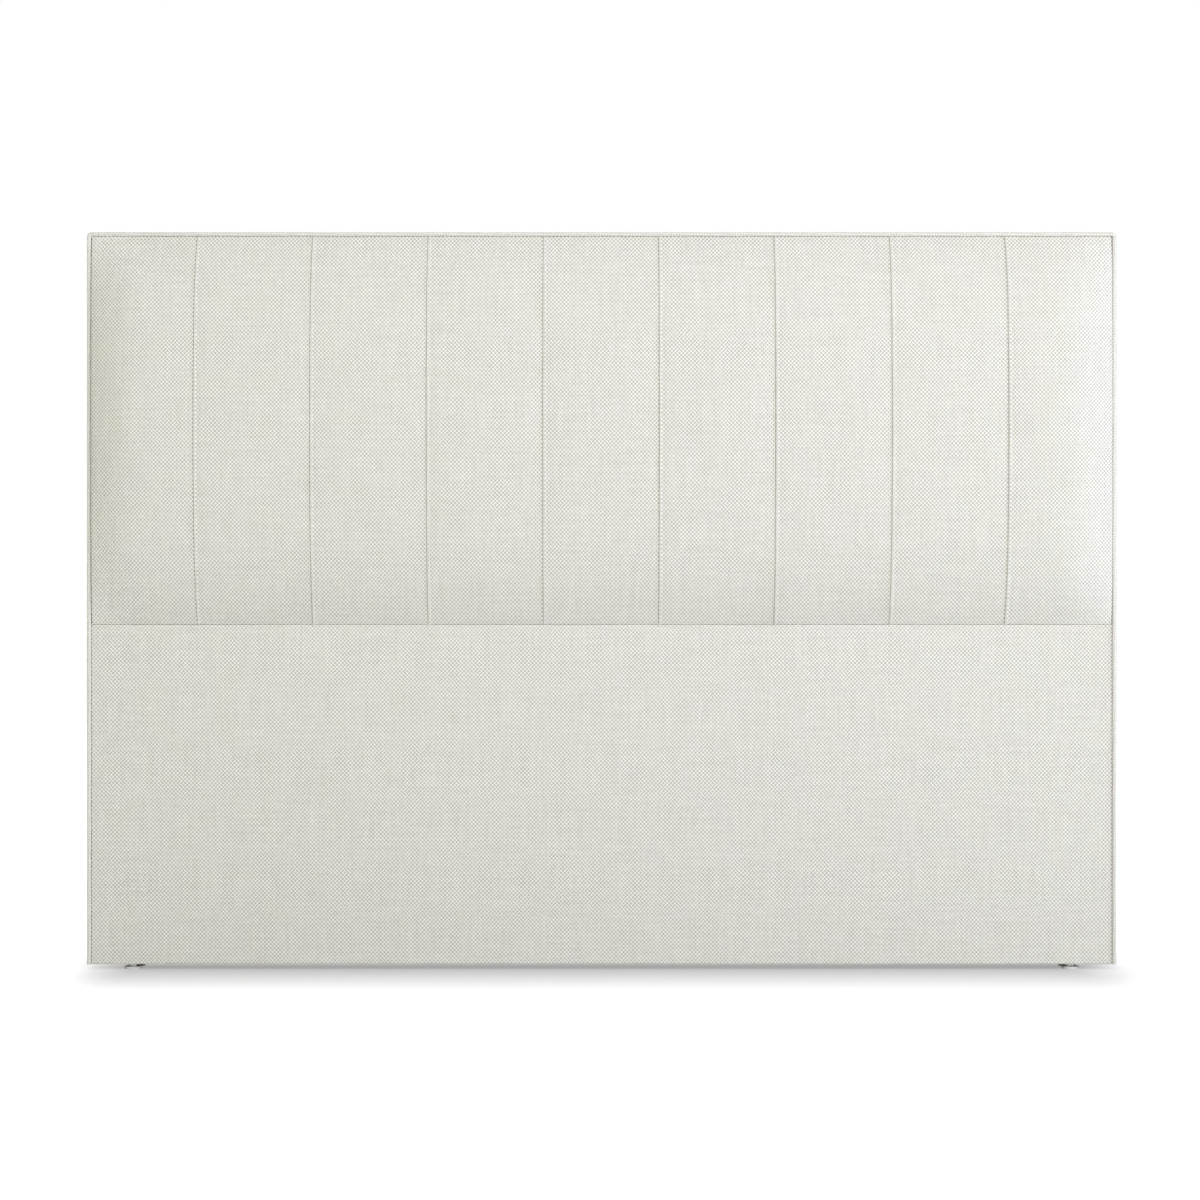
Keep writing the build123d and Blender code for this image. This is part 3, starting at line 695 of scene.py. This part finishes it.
# Piping
# A bias strip of the cloth folded round a twisted cord, its flange sewn between the covers and the boxing.
# It runs up both sides and over the top, and its lower ends are closed.
border_low, border_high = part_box("piping_cover")
pipe_radius = 3.75 * mm
bore_radius = 2.4 * mm
bend_radius = 4.5 * mm
flange_reach = 7.25 * mm
flange_sides = (-0.9 * mm, -3.3 * mm)
flange_slit = 0.02 * mm
pipe_y = face_y + 0.75 * mm
pipe_x = border_high[0] - pipe_radius
pipe_low = border_low[2]
pipe_high = border_high[2] - pipe_radius
cap_steps = (0, 0.35 * mm, 1.5 * mm, 1.56 * mm)
closed_rings = 3
closed_share = 0.02
cap_share = 0.92
pucker_share = 0.025
pucker_pitch = 2.4 * mm
least_bend = 0.02
cord_start = 1.6 * mm


def border_route(low_z, step):
    """Places (x, z) up one side, over the top and down the other, with the outward direction at each."""
    bend_x, bend_z = pipe_x - bend_radius, pipe_high - bend_radius
    turn = np.radians(np.linspace(0, 90, 11))
    ways = np.stack([np.cos(turn), np.sin(turn)], axis=1)
    right_bend = np.array((bend_x, bend_z)) + bend_radius * ways
    left_bend, left_ways = (right_bend * (-1, 1))[::-1], (ways * (-1, 1))[::-1]
    right_end = np.array([(pipe_x, low_z + height) for height in cap_steps])
    left_end = (right_end * (-1, 1))[::-1]
    places, outward = list(right_end), [ways[0]] * len(cap_steps)
    end_ways = [left_ways[-1]] * len(cap_steps)
    for stretch, stretch_ways in ((right_bend, ways), (left_bend, left_ways), (left_end, end_ways)):
        last = places[-1]
        gap = stretch[0] - last
        count = max(1, round(np.linalg.norm(gap) / step))
        for share in np.arange(1, count) / count:
            places.append(last + share * gap)
            outward.append(stretch_ways[0])
        places.extend(stretch)
        outward.extend(stretch_ways)
    return np.array(places), np.array(outward)


def swept(name, places, outward, sections, on_cloth=None):
    """Mesh of a section of (depth, outward) points carried along a route, closed at both ends."""
    across = outward[:, None, :] * sections[..., 1:]
    x, z = (places[:, None, axis] + across[..., axis] for axis in (0, 1))
    return skin(name, put(x, pipe_y + sections[..., 0], z), tube_faces(*sections.shape[:2]), on_cloth)


def round_part(radius, start, end, count):
    """Part of a circle as (depth, outward) points, from one angle to another."""
    turn = np.linspace(start, end, count)
    return np.stack([radius * np.cos(turn), radius * np.sin(turn)], axis=1)


near_side, far_side = flange_sides
slit = (near_side + far_side) / 2
rim_start = math.asin(near_side / pipe_radius)
rim_end = 2 * math.pi + math.asin(far_side / pipe_radius)
bore_start = 2 * math.pi + math.asin((slit - flange_slit) / bore_radius)
bore_end = math.asin((slit + flange_slit) / bore_radius)
strip_section = np.concatenate(
    [
        [(flange_reach, near_side)],
        round_part(pipe_radius, rim_start, rim_end, 25),
        [(flange_reach, far_side), (flange_reach, slit - flange_slit)],
        round_part(bore_radius, bore_start, bore_end, 15),
        [(flange_reach, slit + flange_slit)],
    ]
)
route, ways = border_route(pipe_low, step=10 * mm)
travelled = np.concatenate([[0], np.cumsum(np.linalg.norm(np.diff(route, axis=0), axis=1))])
girth = np.linalg.norm(np.diff(strip_section, axis=0, prepend=strip_section[:1]), axis=1).cumsum()
sections = np.repeat(strip_section[None], len(route), axis=0)
tight = np.linalg.norm(np.gradient(ways, axis=0), axis=1) > least_bend
pucker = 1 + np.where(tight, pucker_share * np.sin(travelled * 2 * math.pi / pucker_pitch), 0)
from_middle = np.linalg.norm(strip_section, axis=1)
in_front = (from_middle > 0.9 * pipe_radius) & (strip_section[:, 0] < 0)
sections[:, in_front] *= np.minimum(pucker, 1)[:, None, None]
for ends in (slice(0, closed_rings), slice(-closed_rings, None)):
    sections[ends, from_middle < 1.1 * bore_radius] *= closed_share
    sections[ends, :, 0] = np.minimum(sections[ends, :, 0], pipe_radius)
for end in (0, -1):
    sections[end] *= cap_share
bias = math.sqrt(0.5)
on_cloth = put(bias * (travelled[:, None] + girth), bias * (travelled[:, None] - girth), 0)
piping = swept("piping_strip", route, ways, sections, on_cloth)
tight_weave.cover(piping)
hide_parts("piping_cover")
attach(piping, "headboard")

paper = Finish("paper_cord", {"Roughness": 0.8, "Specular IOR Level": 0.25})
paper_run = paper.grain(paper.place(), 700.0, 3.0)
paper.set({"Base Color": paper.mix(paper_run, (0.7, 0.65, 0.54), (0.84, 0.8, 0.7))})
paper.relief(paper_run, 0.1 * mm)
cord_radius = 2.18 * mm
strand_rise = 0.12 * mm
twist_length = 30 * mm
cord_route, cord_ways = border_route(pipe_low + cord_start, step=4 * mm)
cord_run = np.concatenate([[0], np.cumsum(np.linalg.norm(np.diff(cord_route, axis=0), axis=1))])
turn = np.linspace(0, 2 * math.pi, 12, endpoint=False)[None, :]
lobes = cord_radius + strand_rise * np.cos(3 * (turn - 2 * math.pi * cord_run[:, None] / twist_length))
cord_sections = np.stack([lobes * np.cos(turn), lobes * np.sin(turn)], axis=-1)
piping_cord = swept("piping_cord", cord_route, cord_ways, cord_sections)
paper.cover(piping_cord)
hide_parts("piping_filler")
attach(piping_cord, "headboard")


# Boxing
# Four strips of the same cloth over the edges of the frame, pulled tight and turned in behind it.
# The strip below has holes for the feet.
box_low, box_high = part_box("boxing_left")[0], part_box("boxing_right")[1]
box_front, box_back = box_low[1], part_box("dust_cover")[0][1]
top_z, bottom_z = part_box("boxing_top")[1][2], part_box("boxing_bottom")[0][2]
box_x = box_high[0]
back_return = 30 * mm
fold_radius = 3 * mm
corner_roll = 1.3 * mm
front_roll = 0.8 * mm
strip_gap = 0.15 * mm
ripple_height = 0.15 * mm
ripple_margin = 8 * mm
return_step = 0.2 * mm
depth_allowance, length_allowance = 10 * mm, 12 * mm
pad_radius = 15 * mm

# A round hole is drawn from a square of grid lines. These are measured in its radii.
square_half = 0.8
clear_around = 1.7
square_lines = (-1.9, -1, -0.5, 0, 0.5, 1, 1.9)


def with_holes(places, centres, radius):
    """Grid lines with the ones that round holes at these centres need."""
    kept = [p for p in places if all(abs(p - c) > clear_around * radius for c in centres)]
    extra = [c + share * square_half * radius for c in centres for share in square_lines]
    return np.unique(np.array(kept + extra).round(7))


def pierced(first, second, centres, radius):
    """Two grids of places with their lines drawn to the rims of round holes, and the cells left out."""
    first, second = (grid.copy() for grid in np.broadcast_arrays(first, second))
    half = 1.001 * square_half * radius
    cells = np.zeros((first.shape[0] - 1, first.shape[1] - 1), bool)
    for centre in centres:
        aside, up = first - centre[0], second - centre[1]
        inside = (abs(aside) < half) & (abs(up) < half)
        cells |= inside[:-1, :-1] & inside[1:, :-1] & inside[:-1, 1:] & inside[1:, 1:]
        away = np.hypot(aside, up)
        rim = inside & (np.maximum(abs(aside), abs(up)) > half * 0.99)
        first[rim] = centre[0] + aside[rim] / away[rim] * radius
        second[rim] = centre[1] + up[rim] / away[rim] * radius
    return first, second, cells


wall_reach = box_back - fold_radius - box_front
fold_turn = np.linspace(0, math.pi / 2, 6)
fold_end = wall_reach + fold_radius * math.pi / 2
strip_depth = fold_end + back_return - fold_radius
foot_ys = [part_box(f"foot_pad_{row}_left")[0][1] + pad_radius for row in ("front", "rear")]
foot_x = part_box("foot_pad_front_right")[0][0] + pad_radius
foot_depths = [y - box_front for y in foot_ys]
spindle_hole = 5.5 * mm


def strip_place(down, thick):
    """Depth and inset of a strip's point, from how far it lies along the strip and into its thickness."""
    around = np.clip((down - wall_reach) / fold_radius, 0, math.pi / 2)
    radius = fold_radius - thick
    depth = box_front + np.minimum(down, wall_reach) + radius * np.sin(around)
    inset = fold_radius - radius * np.cos(around) + np.maximum(down - fold_end, 0)
    return depth, inset


wall_lines = lines(0, wall_reach, step=9 * mm, ends=(0.5 * mm, 1.5 * mm))
fold_lines = wall_reach + fold_radius * fold_turn[1:]
turn_lines = np.linspace(fold_end, strip_depth, 6)[1:]
strip_lines = np.concatenate([wall_lines, fold_lines, turn_lines])
upright_ends = bottom_z + cloth_thickness + strip_gap, top_z - cloth_thickness - strip_gap
return_low = bottom_z + back_return + strip_gap
return_high = top_z - back_return - strip_gap
return_lines = return_low - return_step, return_low, return_high, return_high + return_step
for side, hand in (("top", 0), ("bottom", 0), ("left", -1), ("right", 1)):
    start, end = upright_ends if hand else (-box_x, box_x)
    long = lines(start, end, step=16 * mm, ends=(0.3 * mm, 0.8 * mm, 1.5 * mm, 3 * mm))
    down = strip_lines
    cells = None
    if side == "bottom":
        long = with_holes(long, (-foot_x, foot_x), spindle_hole)
        down = with_holes(down, foot_depths, spindle_hole)
    elif hand:
        long = np.unique(np.concatenate([long, return_lines]).round(7))
    long_grid, down_grid = long[:, None], down[None, :]
    if side == "bottom":
        places = [(x, depth) for x in (-foot_x, foot_x) for depth in foot_depths]
        long_grid, down_grid, cells = pierced(long_grid, down_grid, places, spindle_hole)
    long_grid, down_grid = np.broadcast_arrays(long_grid, down_grid)
    fall = fallen(np.minimum(long_grid - start, end - long_grid), corner_roll)
    fall = np.maximum(fall, fallen(down_grid, front_roll))
    ripple = ripple_height * (1 + waves(long_grid, down_grid, size=0.05, seed=11.5 + len(side)))
    ripple = ripple * np.clip(np.minimum(down_grid, strip_depth - down_grid) / ripple_margin, 0, 1)
    # An upright strip is turned in between the level ones' returns, and stays flat beside them.
    flat_end = (long_grid < return_low - return_step / 2) | (long_grid > return_high + return_step / 2)
    grids = []
    for thick, sunk in ((0 * mm, fall + ripple), (cloth_thickness, 0 * mm)):
        depth, inset = strip_place(down_grid, thick + sunk)
        if hand:
            flat_depth = np.minimum(box_front + down_grid, box_back - cloth_thickness)
            depth = np.where(flat_end, flat_depth, depth)
            inset = np.where(flat_end & (down_grid > wall_reach), thick, inset)
            grids.append(put(hand * (box_x - inset), depth, long_grid))
        else:
            height = top_z - inset if side == "top" else bottom_z + inset
            grids.append(put(long_grid, depth, height))
    if hand:
        out = flat_end & (down_grid > wall_reach + fold_radius * fold_turn[2])
        cells = out[:-1, 1:] | out[1:, 1:]
    on_cloth = put(down_grid, long_grid, 0) if hand else put(long_grid, down_grid, 0)
    strip = slab(f"boxing_strip_{side}", *grids, on_cloth, left_out=cells)
    weave.cover(strip)
    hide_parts(f"boxing_{side}")
    strip_depth + depth_allowance
    end - start + length_allowance
    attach(strip, "headboard")


# Dust cover
# Black non-woven cloth over the back, its edges folded under, held by a row of staples all round.
# Four holes let the bolts of the bed through to their sleeves.
fleece = Finish("black_nonwoven", {"Roughness": 0.85, "Specular IOR Level": 0.25})
fleece_place = fleece.place()
fleece_run = fleece.grain(fleece_place, 420.0, 5.0)
fleece_thin = fleece.grain(fleece_place, 28.0, 3.0)
bond_x, _, bond_z = fleece.parts(fleece_place)
bond_pitch = 1.6 * mm
bonds = (bond_x * (2 * math.pi / bond_pitch)).sine() * (bond_z * (2 * math.pi / bond_pitch)).sine()
bonds = bonds.rise(0.3, 0.8)
fleece_tone = fleece.mix(fleece_thin.rise(0.3, 0.7), (0.010, 0.010, 0.011), (0.020, 0.020, 0.021))
fleece_tone = fleece.mix(fleece_run.rise(0.45, 0.7) * 0.6, fleece_tone, (0.045, 0.045, 0.047))
fleece.set(
    {
        "Base Color": fleece.mix(bonds * 0.5, fleece_tone, (0.008, 0.008, 0.009)),
        "Roughness": 0.9 - 0.3 * bonds,
    }
)
fleece.relief(fleece_run - bonds * 0.6, 0.2 * mm, 0.6)

dust_low, dust_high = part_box("dust_cover")
staple_margin = 8 * mm
staple_pitch = 76 * mm
staple_x = dust_high[0] - staple_margin
staple_ends = dust_low[2] + staple_margin, dust_high[2] - staple_margin
bolt_hole = 10 * mm
bolt_xs = (-450 * mm, 450 * mm)
bolt_zs = (190 * mm, 330 * mm)
bolt_spots = [(x, z) for x in bolt_xs for z in bolt_zs]
hem = 14 * mm
hem_edge = 1 * mm
fleece_thickness = 0.25 * mm
loose_thickness = 0.4 * mm
fleece_sunk = 0.12 * mm
back_gap = 0.02 * mm
dimple_depth = 0.62 * mm
dimple_radius = 5 * mm
dimple_stretch = 1.6
slack_depth = 0.5 * mm
slack_start, slack_reach = 25 * mm, 120 * mm


def staple_row(half):
    """Even places along a row of staples, from its middle."""
    gaps = int(2 * half // staple_pitch)
    return [(i - gaps / 2) * staple_pitch for i in range(gaps + 1)]


dust_middle = (dust_low[2] + dust_high[2]) / 2
dust_half = (dust_high[2] - dust_low[2]) / 2 - staple_margin - staple_pitch / 2
staple_spots = [(x, z) for x in staple_row(staple_x) for z in staple_ends]
staple_spots += [(x, dust_middle + z) for x in (-staple_x, staple_x) for z in staple_row(dust_half)]
dust_edges = tuple(d * mm for d in (0.5, 2, 4, 6, 8, 10, 12, 13.5, 14.5, 17, 22))
dust_x = with_holes(lines(dust_low[0], dust_high[0], step=12 * mm, ends=dust_edges), bolt_xs, bolt_hole)
dust_z = with_holes(lines(dust_low[2], dust_high[2], step=12 * mm, ends=dust_edges), bolt_zs, bolt_hole)
dust_x, dust_z, dust_cells = pierced(dust_x[None, :], dust_z[:, None], bolt_spots, bolt_hole)
from_edge = np.minimum(dust_high[0] - abs(dust_x), np.minimum(dust_z - dust_low[2], dust_high[2] - dust_z))
from_staples = [np.hypot((dust_x - x) / dimple_stretch, dust_z - z) for x, z in staple_spots]
dimple = np.exp(-((np.min(from_staples, axis=0) / dimple_radius) ** 2))
slack = waves(dust_x, dust_z, size=0.11, seed=21.5) + 0.5 * waves(dust_x, dust_z, size=0.035, seed=23.5)
loose = np.clip((from_edge - slack_start) / slack_reach, 0, 1)
dust_depth = fleece_sunk + fleece_thickness * (from_edge > hem) + dimple_depth * dimple
dust_depth += loose * slack_depth * (1 + slack)
dust_depth += fleece_thickness * (from_edge < hem_edge)
dust_out = dust_high[1] - dust_depth
dust_in = np.minimum(dust_out - fleece_thickness, dust_low[1] + back_gap)
dust_in = np.where(loose > 0, dust_out - loose_thickness, dust_in)
points = put(-dust_x, dust_out, dust_z), put(-dust_x, dust_in, dust_z)
dust_cover = slab("dust_cover_cloth", *points, left_out=dust_cells)
fleece.cover(dust_cover)
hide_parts("dust_cover")
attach(dust_cover, "headboard")
zinc.cover(nodes["back_staples"], nodes["bed_sleeves"])


# Levelling feet
# A nylon pad and a zinc-plated M8 spindle, its nut turned by hand, in a sleeve in the plinth board.
zinc.cover(nodes["foot_sleeves"])
nylon = Finish("pale_nylon", {"Specular IOR Level": 0.45})
nylon_grain = nylon.grain(nylon.place(), 1800.0, 2.0)
nylon_scuff = nylon.grain(nylon.place(), 120.0, 4.0).rise(0.55, 0.75)
nylon.set(
    {
        "Base Color": nylon.mix(nylon_scuff, (0.62, 0.62, 0.6), (0.54, 0.54, 0.52)),
        "Roughness": 0.42 + 0.25 * nylon_scuff,
    }
)
nylon.relief(nylon_grain, 0.05 * mm)

thread_pitch = 1.25 * mm
thread_depth = 0.65 * mm
stem_radius = 3.95 * mm
core_radius = stem_radius - thread_depth
tip_radius = stem_radius - 1.3 * mm
tip_length = 0.5 * mm
rings_in_turn = 6
thread_end_gap = 0.8 * mm
groove_slope = 1.15
pivot_radius = 3 * mm
pivot_chamfer = 0.4 * mm
nut_half = 6.5 * mm
nut_low, nut_high = 4.2 * mm, 8.5 * mm
nut_chamfer = 0.5 * mm
stem_columns = 48
turn = np.linspace(0, 2 * math.pi, stem_columns, endpoint=False)
hexagon = nut_half / np.cos((turn + math.pi / 6) % (math.pi / 3) - math.pi / 6)
nut_face = np.minimum(hexagon, 1.02 * nut_half)


def spindle_rings(low, high):
    """Rings of (height, radius) from a spindle's pivot through its nut to the tip of its thread."""
    rings = [
        (low, 0.86 * pivot_radius),
        (low + pivot_chamfer, pivot_radius),
        (nut_low, pivot_radius),
        (nut_low, nut_face),
        (nut_low + nut_chamfer, hexagon),
        (nut_high - nut_chamfer, hexagon),
        (nut_high, nut_face),
        (nut_high, core_radius),
    ]
    step = thread_pitch / rings_in_turn
    for z in np.arange(nut_high + step, high - thread_end_gap, step):
        along_thread = (z / thread_pitch - turn / (2 * math.pi)) % 1
        groove = np.clip(groove_slope * abs(2 * along_thread - 1), 0, 1)
        ease = min(1, (z - nut_high) / thread_pitch)
        rings.append((z, stem_radius - thread_depth * (1 - groove * ease)))
    return rings + [(high - tip_length, core_radius), (high, tip_radius)]


for row in ("front", "rear"):
    for side in ("left", "right"):
        nylon.cover(nodes[f"foot_pad_{row}_{side}"])
        low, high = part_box(f"foot_spindle_{row}_{side}")
        middle = (low + high) / 2
        rings = spindle_rings(low[2], high[2])
        heights = np.array([z for z, _ in rings])[:, None]
        radii = np.stack([np.broadcast_to(radius, turn.shape) for _, radius in rings])
        points = put(middle[0] + radii * np.cos(turn), middle[1] + radii * np.sin(turn), heights)
        spindle = skin(f"threaded_spindle_{row}_{side}", points, tube_faces(*radii.shape))
        zinc.cover(spindle)
        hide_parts(f"foot_spindle_{row}_{side}")
        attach(spindle, f"{row}_{side}_spindle")


# Studio
# A pale floor, white behind, and soft lamps, the strongest of them in front on the right. Close round the
# headboard the floor's glow is weakest, a painted shadow, and its colour is darker, painted shade.
scene = bpy.context.scene
scene.view_settings.view_transform = "Standard"

floor_mesh = bpy.data.meshes.new("studio_floor")
floor_half = 9.0
corners = [(x * floor_half, y * floor_half, 0) for x, y in ((-1, -1), (1, -1), (1, 1), (-1, 1))]
floor_mesh.from_pydata(corners, [], [(0, 1, 2, 3)])
floor = bpy.data.objects.new("studio_floor", floor_mesh)
scene.collection.objects.link(floor)
paint = Finish("studio_floor_paint", {"Roughness": 0.9})
rays = paint.node("LightPath")
white = (1.0, 1.0, 1.0)
shade_x, shade_y = 0.82, 0.03
painted_shadow_glow = 0.335
painted_shadow_fade = 1.93
bounce_reach = 0.7
shaded_near_grey, far_grey, seen_grey = ((shade, shade, shade) for shade in (0.48, 0.7, 0.25))
floor_x, floor_y, _ = paint.parts(paint.place())
beside = 2 * (abs(floor_x) - shade_x).math("MAXIMUM", abs(floor_x) - shade_x, 0)
before = (abs(floor_y) - shade_y).math("MAXIMUM", abs(floor_y) - shade_y, 0)
away = (beside**2 + before**2) ** 0.5
# Painted shade: the floor's colour is darker near the headboard, so less light bounces up from there.
floor_with_painted_shade = paint.mix(away.rise(0.0, bounce_reach), shaded_near_grey, far_grey)
paint.set({"Base Color": paint.mix(rays.out("Is Camera Ray"), floor_with_painted_shade, seen_grey)})
# Painted shadow: the glow that the camera and gloss see on the floor is least at the headboard's footprint
# and rises to white away from it.
seen = rays.out("Is Camera Ray") + rays.out("Is Glossy Ray")
strength = seen * away.math("MINIMUM", painted_shadow_glow + away * painted_shadow_fade, 1.0)
glow = paint.node("Emission", {}, {"Color": white, "Strength": strength})
both = paint.node("AddShader", {}, {0: Wire(paint, paint.surface.outputs["BSDF"]), 1: glow})
paint.tree.links.new(both.socket, paint.tree.nodes["Material Output"].inputs["Surface"])
paint.cover(floor)


class Surround(Finish):
    """The world, lit evenly by its background, which the camera, gloss and glass see as white."""

    def __init__(self, name):
        world = bpy.data.worlds.new(name)
        bpy.context.scene.world = world
        world.use_nodes = True
        self.tree = world.node_tree
        self.surface = self.tree.nodes["Background"]


ambient = 0.2
surround = Surround("studio_surround")
rays = surround.node("LightPath")
seen = rays.out("Is Camera Ray") + rays.out("Is Glossy Ray") + rays.out("Is Transmission Ray")
surround.set({"Color": white, "Strength": ambient + (1 - ambient) * seen})

target = Vector((0, 0, 0.65))
lamps = {
    "lamp_right": ((2.2, -4.5, 1.8), (2.0, 2.0), 75.0, (0.98, 0.97, 1.05)),
    "lamp_right_side": ((3.6, -0.9, 1.2), (1.2, 1.2), 42.0, (0.92, 0.97, 1.18)),
    "lamp_left_side": ((-3.5, -0.6, 1.2), (1.2, 1.2), 15.5, (1.05, 1.03, 0.85)),
    "lamp_front": ((0.0, -5.5, 1.6), (2.5, 2.5), 50.0, (1.04, 1.03, 0.93)),
    "lamp_front_high": ((0.0, -3.5, 3.5), (2.0, 2.0), 69.0, (0.99, 0.98, 1.03)),
    "lamp_above": ((0.0, 0.25, 3.0), (3.0, 0.5), 6.0, white),
    "lamp_behind": ((-1.6, 3.4, 2.4), (2.0, 2.0), 60.0, white),
}
for name, (place, (wide, deep), power, tint) in lamps.items():
    lamp = bpy.data.lights.new(name, "AREA")
    lamp.shape = "RECTANGLE"
    lamp.size = wide
    lamp.size_y = deep
    lamp.energy = power
    lamp.color = tint
    stand = bpy.data.objects.new(name, lamp)
    stand.location = place
    stand.rotation_euler = (target - Vector(place)).to_track_quat("-Z", "Y").to_euler()
    scene.collection.objects.link(stand)

camera_distance = 4.5
camera_x, camera_height = -0.003, 0.646
photo_width_at_border = 2.098
lens = bpy.data.cameras.new("photo_camera")
lens.sensor_width = 36
lens.lens = lens.sensor_width * camera_distance / photo_width_at_border
camera = bpy.data.objects.new("photo_camera", lens)
camera.location = (camera_x, face_y - camera_distance, camera_height)
camera.rotation_euler = (math.pi / 2, 0, 0)
scene.collection.objects.link(camera)
scene.camera = camera
